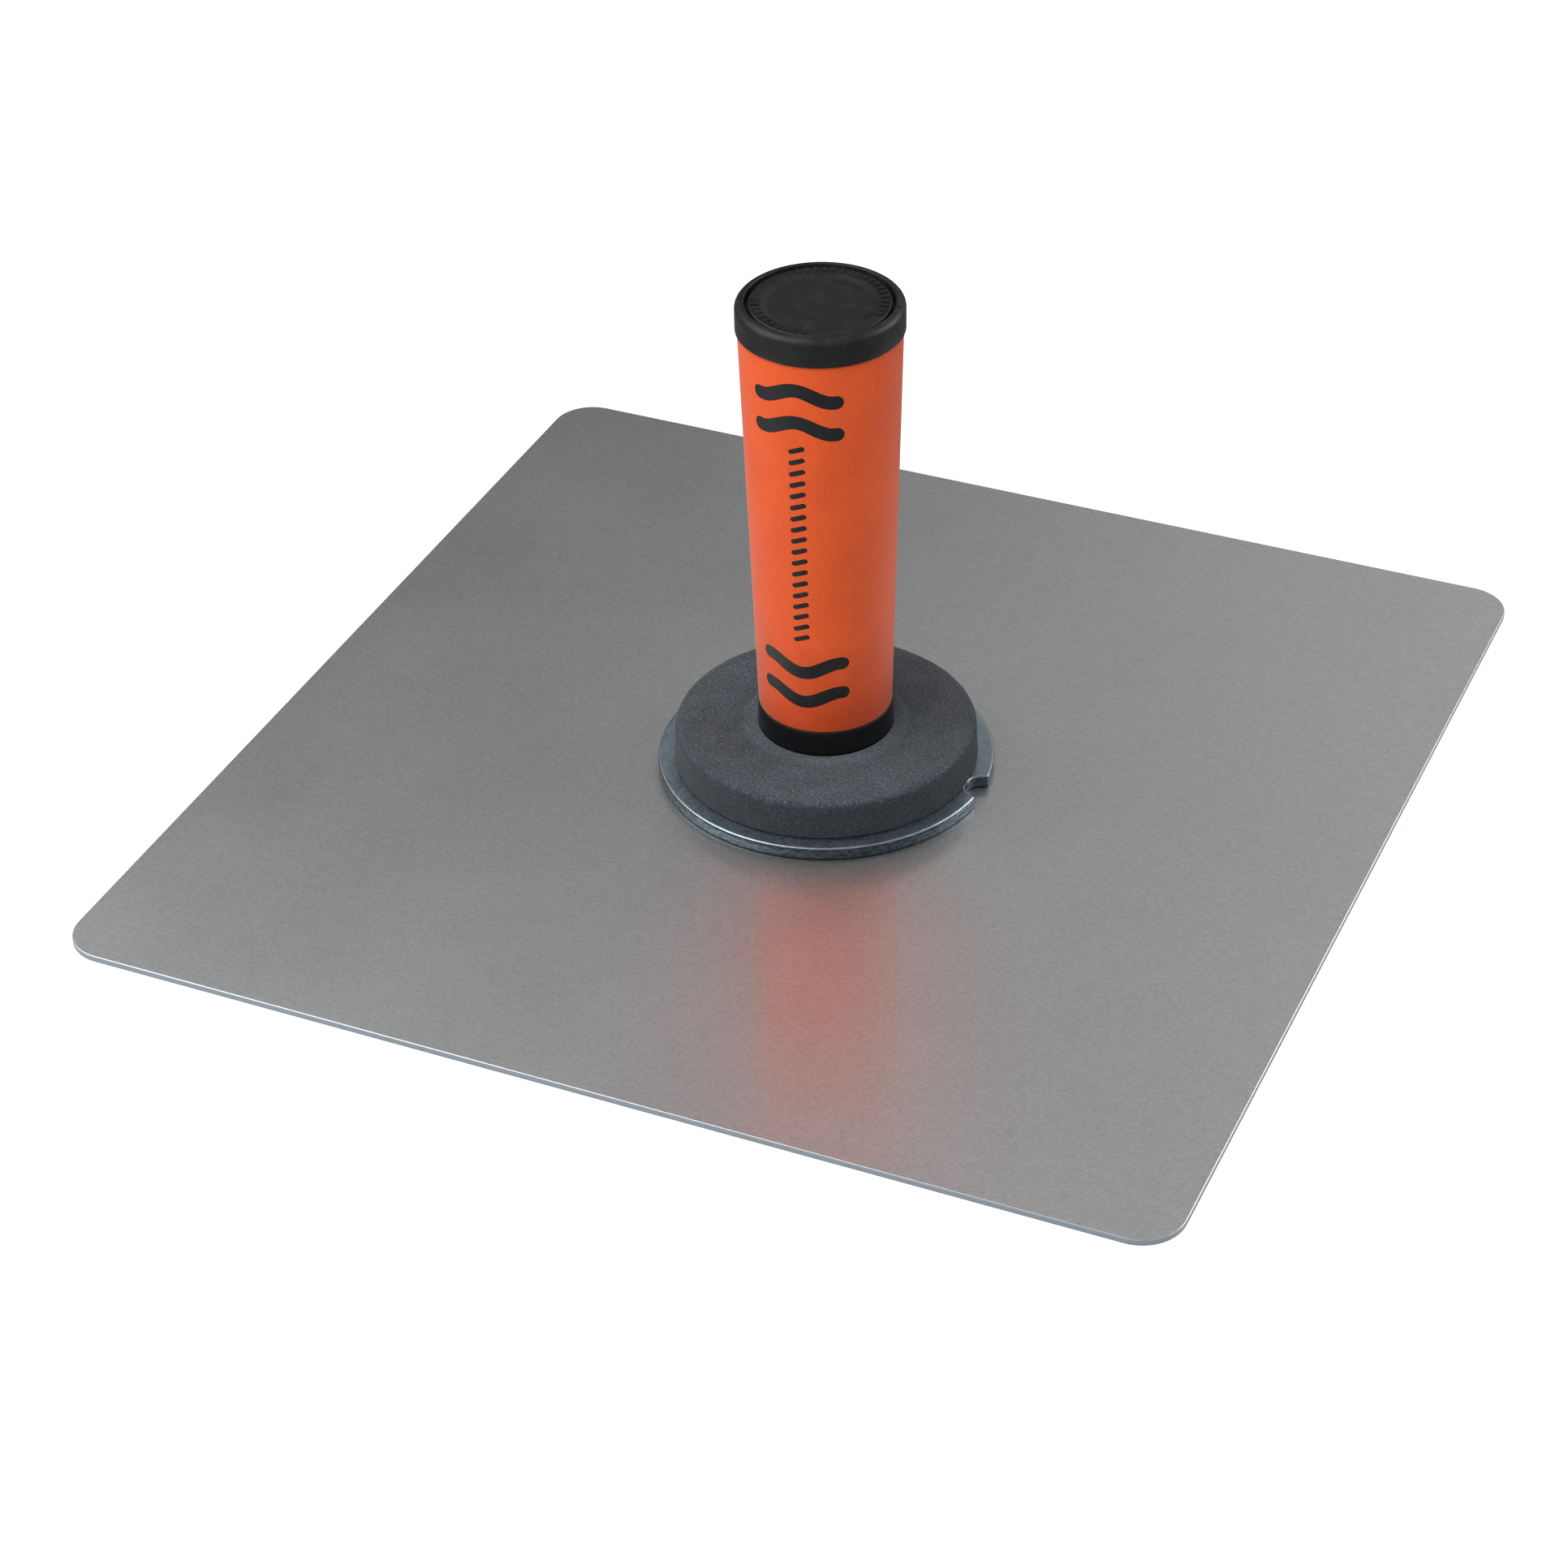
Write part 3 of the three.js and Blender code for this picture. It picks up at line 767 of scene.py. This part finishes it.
def add_thread(bm, low, high, radius_at):
    """Helical band between two heights, whose rows of faces follow the thread's breaks.
    Its end rings are returned. They lie on its clamped ends, and welding joins them."""
    turns = range(-2, math.ceil((high - INSERT.bottom) / THREAD_PITCH) + 1)
    rows = [turn + share for turn in turns for share, _ in THREAD_FORM]

    def vertex(angle, height):
        radius = radius_at(angle, height)
        return bm.verts.new((radius * math.cos(angle), radius * math.sin(angle), height))

    angles = [2 * math.pi * i / MEDIUM for i in range(MEDIUM)]
    columns = []
    for i, angle in enumerate(angles):
        heights = [INSERT.bottom + THREAD_PITCH * (row + i / MEDIUM) for row in rows]
        columns.append([vertex(angle, min(max(height, low), high)) for height in heights])
    climbed = columns[0][len(THREAD_FORM):] + [columns[0][-1]] * len(THREAD_FORM)
    for left, right in zip(columns, columns[1:] + [climbed]):
        for k in range(len(rows) - 1):
            corners = (left[k], right[k], right[k + 1], left[k + 1])
            if len(set(corners)) > 2:
                bm.faces.new(list(dict.fromkeys(corners)))
    return [[vertex(angle, height) for angle in angles] for height in (low, high)]


def weld(bm):
    bmesh.ops.remove_doubles(bm, verts=bm.verts, dist=WELD)
    return bm


def make_stud(material):
    """Coned head between blade and disc, plain shank through the disc, then the thread."""

    def radius_at(angle, height):
        chamfered = THREAD_RADIUS - max(0, height - (STUD.top - STUD_TIP_CHAMFER))
        return min(thread_radius(angle, height, 0), chamfered)

    bm = bmesh.new()
    thread_low, thread_high = add_thread(bm, DISC.top, STUD.top, radius_at)
    outline = (
        (0, STUD.bottom),
        (STUD_HEAD_RADIUS, STUD.bottom),
        (STUD_SHANK_RADIUS, STUD.bottom + STUD_HEAD_DEPTH),
        (STUD_SHANK_RADIUS, DISC.top),
    )
    below = [add_ring(bm, radius, height, MEDIUM) for radius, height in outline]
    join_loops(bm, below + [thread_low])
    join_loops(bm, [thread_high, add_ring(bm, 0, STUD.top, MEDIUM)])
    add_piece("stud_bolt", weld(bm), "threaded_stud", material)


def make_insert(material):
    """Nut with a locking groove round its middle and the thread inside."""
    middle = (INSERT.bottom + INSERT.top) / 2
    grooved = INSERT.radius - INSERT_GROOVE_DEPTH
    bm = bmesh.new()
    low, high = add_thread(
        bm, INSERT.bottom, INSERT.top, lambda angle, z: thread_radius(angle, z, THREAD_CLEARANCE)
    )
    outline = (
        (INSERT.radius, INSERT.bottom),
        (INSERT.radius, middle - INSERT_GROOVE_HALF_HEIGHT),
        (grooved, middle - INSERT_GROOVE_HALF_HEIGHT),
        (grooved, middle + INSERT_GROOVE_HALF_HEIGHT),
        (INSERT.radius, middle + INSERT_GROOVE_HALF_HEIGHT),
        (INSERT.radius, INSERT.top),
    )
    outside = [add_ring(bm, radius, height, MEDIUM) for radius, height in outline]
    join_loops(bm, [low, *outside, high])
    add_piece("threaded_insert", weld(bm), "thread_insert", material)


# ---------------------------------------------------------------- foam pad


def swell(point):
    """How far the foam stands proud of its plain shape at a point, fading out at its base."""
    free = min(1, (point.z - PAD.bottom) / PAD_EDGE_ROUND)
    slow = PAD_SWELL * noise.noise(point / PAD_SWELL_SIZE)
    quick = PAD_GRAIN * noise.noise(point / PAD_GRAIN_SIZE)
    return free * (slow + quick)


def make_pad(material):
    """Foam ring: leaning side, soft upper edge, and a low ring pressed up round the handle."""
    shoulder = PAD.top - PAD_RING_RISE
    profile = rounded(
        [
            (PAD_HOLE_RADIUS, PAD.bottom, 0),
            (PAD.radius, PAD.bottom, PAD_FOOT_ROUND),
            (PAD.radius - PAD_LEAN, shoulder, PAD_EDGE_ROUND),
            (PAD_RING_RADIUS, shoulder, PAD_RING_ROUND),
            (PAD_RING_RADIUS - PAD_RING_SLOPE, PAD.top, PAD_RING_ROUND),
            (PAD_HOLE_RADIUS, PAD.top, PAD_HOLE_ROUND),
        ]
    )
    bm = face_outwards(lathe(subdivided(profile, PAD_ROW)))
    bm.normal_update()
    moves = [vertex.normal * swell(vertex.co) for vertex in bm.verts]
    for vertex, move in zip(bm.verts, moves):
        vertex.co += move
    pad = add_piece("foam_ring", bm, "foam_pad", material)


# ---------------------------------------------------------------- handle


def grip_radius(height):
    """Outer radius of the sleeve at a height."""
    share = (height - SLEEVE.bottom) / (SLEEVE.top - SLEEVE.bottom)
    return SLEEVE_LOW_RADIUS + (SLEEVE.radius - SLEEVE_LOW_RADIUS) * share


def wave_outline(crest, half_thickness):
    """Round-ended band along a cosine, as (distance along it, height) points."""
    reach = WAVE_HALF_LENGTH - WAVE_HALF_THICKNESS
    rate = math.pi / WAVE_HALF_PERIOD

    def beside(s, turn):
        slope = -crest * WAVE_AMPLITUDE * rate * math.sin(rate * s)
        angle = math.atan(slope) + turn
        height = crest * WAVE_AMPLITUDE * math.cos(rate * s)
        return (s + half_thickness * math.cos(angle), height + half_thickness * math.sin(angle))

    quarter = math.pi / 2
    along = [2 * i / WAVE_STEPS - 1 for i in range(WAVE_STEPS)]
    around = [2 * i / END_STEPS - 1 for i in range(END_STEPS)]
    return [
        *(beside(reach * t, -quarter) for t in along),
        *(beside(reach, quarter * t) for t in around),
        *(beside(-reach * t, quarter) for t in along),
        *(beside(-reach, quarter * (t + 2)) for t in around),
    ]


def dash_outline(half_thickness):
    """Slanted bar with round ends, as (distance along the surface, height) points."""
    reach = DASH_HALF_LENGTH - DASH_HALF_THICKNESS
    tips = ((reach, DASH_SLANT), (-reach, DASH_SLANT + math.pi))
    points = []
    for offset, turn in tips:
        centre = (offset * math.cos(DASH_SLANT), offset * math.sin(DASH_SLANT))
        points += arc(centre, half_thickness, turn - math.pi / 2, turn + math.pi / 2, END_STEPS)
    return points


def mark_bars(grow):
    """Every mark of the grip as a bar that runs straight outwards through the sleeve."""
    dash_heights = np.linspace(DASH_LOWEST, DASH_HIGHEST, DASH_COUNT)
    marks = [(z, wave_outline(crest, WAVE_HALF_THICKNESS + grow)) for z, crest in WAVES]
    marks += [(z, dash_outline(DASH_HALF_THICKNESS + grow)) for z in dash_heights]
    depths = (HOLLOW_LOW_RADIUS, CORE.radius + SLEEVE_THICKNESS)
    bm = bmesh.new()
    for height, outline in marks:
        middle = DISC.top + height
        radius = grip_radius(middle)
        wrapped = [(radius * math.sin(s / radius), middle + h) for s, h in outline]
        prism(bm, wrapped, radial_place(MARK_ANGLE), depths)
    return bm


def make_sleeve(material):
    inner_low = SLEEVE_LOW_RADIUS - SLEEVE_THICKNESS
    inner_high = SLEEVE.radius - SLEEVE_THICKNESS
    profile = rounded(
        [
            (inner_low, SLEEVE.bottom, 0),
            (SLEEVE_LOW_RADIUS, SLEEVE.bottom, SLEEVE_END_ROUND),
            (SLEEVE.radius, SLEEVE.top, SLEEVE_END_ROUND),
            (inner_high, SLEEVE.top, 0),
        ]
    )
    bm = combine(lathe(profile), mark_bars(SEAM), "DIFFERENCE")
    add_piece("rubber_grip", bm, "grip_sleeve", material)


def core_profile():
    """Section of the core: socket, foot, collar, wall under the sleeve, rim, and the closed hollow."""
    socket_top = STUD.top + SOCKET_CLEARANCE
    pocket = INSERT.radius + SEAM
    collar = CORE.bottom + COLLAR_HEIGHT
    under_low = SLEEVE_LOW_RADIUS - SLEEVE_THICKNESS - SEAM
    under_high = SLEEVE.radius - SLEEVE_THICKNESS - SEAM
    seat = CORE.top - PLUG_SEAT_DEPTH
    return rounded(
        [
            (0, socket_top, 0),
            (SOCKET_RADIUS, socket_top, 0),
            (SOCKET_RADIUS, INSERT.top + SEAM, 0),
            (pocket, INSERT.top + SEAM, 0),
            (pocket, INSERT.bottom - SEAM, 0),
            (SOCKET_RADIUS, INSERT.bottom - SEAM, 0),
            (SOCKET_RADIUS, CORE.bottom, 0),
            (FOOT_RADIUS, CORE.bottom, FOOT_ROUND),
            (FOOT_RADIUS, collar - (COLLAR_RADIUS - FOOT_RADIUS), 0),
            (COLLAR_RADIUS, collar, COLLAR_ROUND),
            (COLLAR_TOP_RADIUS, SLEEVE.bottom - SEAM, COLLAR_TOP_ROUND),
            (under_low, SLEEVE.bottom - SEAM, 0),
            (under_high, SLEEVE.top + SEAM, 0),
            (CORE.radius, SLEEVE.top + SEAM, RIM_UNDER_ROUND),
            (CORE.radius, CORE.top, RIM_ROUND),
            (PLUG_SEAT_RADIUS, CORE.top, RIM_LIP_ROUND),
            (PLUG_SEAT_RADIUS, seat, 0),
            (HOLLOW_HIGH_RADIUS, seat, 0),
            (HOLLOW_LOW_RADIUS, DISC.top + HOLLOW_FLOOR, 0),
            (0, DISC.top + HOLLOW_FLOOR, 0),
        ]
    )


def mark_ribs():
    """The parts of the core that fill the sleeve's windows, just short of its surface."""
    root = SLEEVE_THICKNESS / 3
    profile = (
        (SLEEVE_LOW_RADIUS - SLEEVE_THICKNESS - root, SLEEVE.bottom),
        (SLEEVE_LOW_RADIUS - MARK_DROP, SLEEVE.bottom),
        (SLEEVE.radius - MARK_DROP, SLEEVE.top),
        (SLEEVE.radius - SLEEVE_THICKNESS - root, SLEEVE.top),
    )
    return combine(lathe(profile), mark_bars(0), "INTERSECT")


def rim_slot():
    """Short radial groove across the top of the rim."""
    depths = (PLUG_SEAT_RADIUS - OVERCUT, CORE.radius + OVERCUT)
    half = RIM_SLOT_WIDTH / 2
    low = CORE.top - RIM_SLOT_DEPTH
    high = CORE.top + OVERCUT
    corners = ((-half / 2, low), (half / 2, low), (half, high), (-half, high))
    bm = bmesh.new()
    prism(bm, corners, radial_place(RIM_SLOT_ANGLE), depths)
    return bm


def make_core(material):
    bm = combine(lathe(core_profile()), mark_ribs(), "UNION")
    bm = combine(bm, rim_slot(), "DIFFERENCE")
    add_piece("moulded_core", bm, "handle_core", material)


def tick_bars():
    """Plain raised ticks on the plug's flat ring, in two arcs."""
    bm = bmesh.new()
    for low, high in TICK_ARCS_DEGREES:
        count = round((high - low) / TICK_STEP_DEGREES) + 1
        for angle in np.radians(np.linspace(low, high, count)):
            add_tick(bm, angle)
    return bm


def add_tick(bm, angle):
    """One tick: a bar whose sides draw in above the plug's face."""
    place = radial_place(angle)
    ends = []
    for draft, height in ((0, PLUG_FACE - TICK_RISE), (0, PLUG_FACE), (TICK_DRAFT, PLUG_FACE + TICK_RISE)):
        length = TICK_LENGTH / 2 - draft
        width = TICK_WIDTH / 2 - draft
        corners = ((-length, -width), (length, -width), (length, width), (-length, width))
        ends.append([bm.verts.new(place(y, height, TICK_MIDDLE_RADIUS + x)) for x, y in corners])
    join_loops(bm, ends)
    bm.faces.new(ends[0])
    bm.faces.new(ends[-1])


def make_plug(material):
    """Dished disc with a hollow spigot that presses into the core."""
    seat = CORE.top - PLUG_SEAT_DEPTH + SEAM
    inside = PLUG_SPIGOT_RADIUS - PLUG_SPIGOT_WALL
    profile = rounded(
        [
            (0, seat - PLUG_SEAT_WALL, 0),
            (inside, seat - PLUG_SEAT_WALL, 0),
            (inside, PLUG.bottom, 0),
            (PLUG_SPIGOT_RADIUS, PLUG.bottom, PLUG_SPIGOT_ROUND),
            (PLUG_SPIGOT_RADIUS, seat, 0),
            (PLUG.radius - PLUG_GROOVE, seat, 0),
            (PLUG.radius - PLUG_GROOVE, PLUG_FACE, PLUG_EDGE_ROUND),
            (PLUG_DISH_RADIUS, PLUG_FACE, PLUG_DISH_ROUND),
            (PLUG_DISH_RADIUS - PLUG_DISH_SLOPE, PLUG_FACE - PLUG_DISH_DEPTH, PLUG_DISH_ROUND),
            (0, PLUG_FACE - PLUG_DISH_DEPTH, 0),
        ]
    )
    bm = combine(lathe(profile), tick_bars(), "UNION")
    add_piece("dished_plug", bm, "end_plug", material)


# ---------------------------------------------------------------- camera, light and floor


def direction(azimuth_degrees, elevation_degrees):
    """Unit vector from the object towards a place round it. Azimuth 0 is on the -Y side."""
    azimuth = math.radians(azimuth_degrees)
    elevation = math.radians(elevation_degrees)
    level = math.cos(elevation)
    return Vector((math.sin(azimuth) * level, -math.cos(azimuth) * level, math.sin(elevation)))


def make_camera():
    back = direction(CAMERA_AZIMUTH, CAMERA_ELEVATION)
    level = Vector((0, 0, 1)).cross(back).normalized()
    upright = back.cross(level)
    roll = math.radians(CAMERA_ROLL)
    right = level * math.cos(roll) + upright * math.sin(roll)
    up = upright * math.cos(roll) - level * math.sin(roll)
    low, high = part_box("blade")
    offset = right * CAMERA_RIGHT + up * CAMERA_UP + back * CAMERA_BACK
    data = bpy.data.cameras.new("camera")
    data.lens = CAMERA_LENS
    data.sensor_width = SENSOR_WIDTH
    camera = link_object("camera", data)
    place = Vector((0, 0, high.z)) + offset * (high.x - low.x)
    turn = Matrix((right, up, back)).transposed().to_4x4()
    camera.matrix_world = Matrix.Translation(place) @ turn
    bpy.context.scene.camera = camera


def make_softbox(name, azimuth_degrees, elevation_degrees, distance, size, watts, in_gloss):
    """Square area light that faces the foot of the handle. Out of gloss, it lights every surface
    but isn't mirrored by the blade, which would show it from behind as a white sheet."""
    data = bpy.data.lights.new(name, "AREA")
    data.size = size
    data.energy = watts
    light = link_object(name, data)
    towards = direction(azimuth_degrees, elevation_degrees)
    light.location = Vector((0, 0, SLEEVE.bottom)) + towards * distance
    light.rotation_euler = towards.to_track_quat("Z", "Y").to_euler()
    light.visible_glossy = in_gloss


def sky_colour(tree, place):
    """Grey surround by height, brightest about a third of the way up."""
    height = add_node(tree, "SeparateXYZ", {0: place}).outputs["Z"]
    ramp = add_node(tree, "ValToRGB", {0: height})
    elements = ramp.color_ramp.elements
    while len(elements) < len(SKY):
        elements.new(0.5)
    for element, (position, colour) in zip(elements, SKY):
        element.position = position
        element.color = (*colour, 1)
    return ramp.outputs[0]


def gap_dimming(tree, place):
    """1 all round, falling softly to the gap's light inside the gap."""
    towards = {0: place, 1: direction(*GAP_PLACE)}
    nearness = add_node(tree, "VectorMath", towards, operation="DOT_PRODUCT").outputs["Value"]
    outer, inner = (math.cos(math.radians(edge)) for edge in (GAP_OUTER, GAP_INNER))
    inputs = {0: nearness, 1: outer, 2: inner, 3: 1, 4: GAP_LIGHT}
    return add_node(tree, "MapRange", inputs, interpolation_type="SMOOTHSTEP").outputs[0]


def make_world():
    """Soft grey surround with a dark gap behind the object. The camera itself sees plain white."""
    world = bpy.data.worlds.new("studio")
    bpy.context.scene.world = world
    world.use_nodes = True
    tree = world.node_tree
    place = add_node(tree, "TexCoord", {}).outputs["Generated"]
    inputs = {0: sky_colour(tree, place), "Scale": gap_dimming(tree, place)}
    sky = add_node(tree, "VectorMath", inputs, operation="SCALE").outputs[0]
    seen = add_node(tree, "LightPath", {}).outputs["Is Camera Ray"]
    shown = add_node(tree, "Mix", {0: seen, 6: sky, 7: (1, 1, 1, 1)}, data_type="RGBA").outputs[2]
    tree.links.new(shown, tree.nodes["Background"].inputs[0])


def make_floor():
    corners = [(x * FLOOR_REACH, y * FLOOR_REACH, 0) for x, y in ((-1, -1), (1, -1), (1, 1), (-1, 1))]
    mesh = bpy.data.meshes.new("floor")
    mesh.from_pydata(corners, [], [(0, 1, 2, 3)])
    mesh.materials.append(pale_floor())
    floor = link_object("floor", mesh)


make_camera()
make_world()
make_floor()
for softbox in SOFTBOXES:
    make_softbox(*softbox)

sheet = aluminium("blade_aluminium", (0.865, 0.87, 0.86))
plating = zinc()
plastic = black_plastic()
make_blade(sheet)
make_disc(plating)
make_rivets(aluminium("rivet_aluminium", (0.90, 0.90, 0.90), math.radians(60)))
make_stud(plating)
make_insert(brass())
make_pad(foam())
make_sleeve(orange_rubber())
make_core(plastic)
make_plug(plastic)

bpy.context.scene.view_settings.view_transform = "Standard"
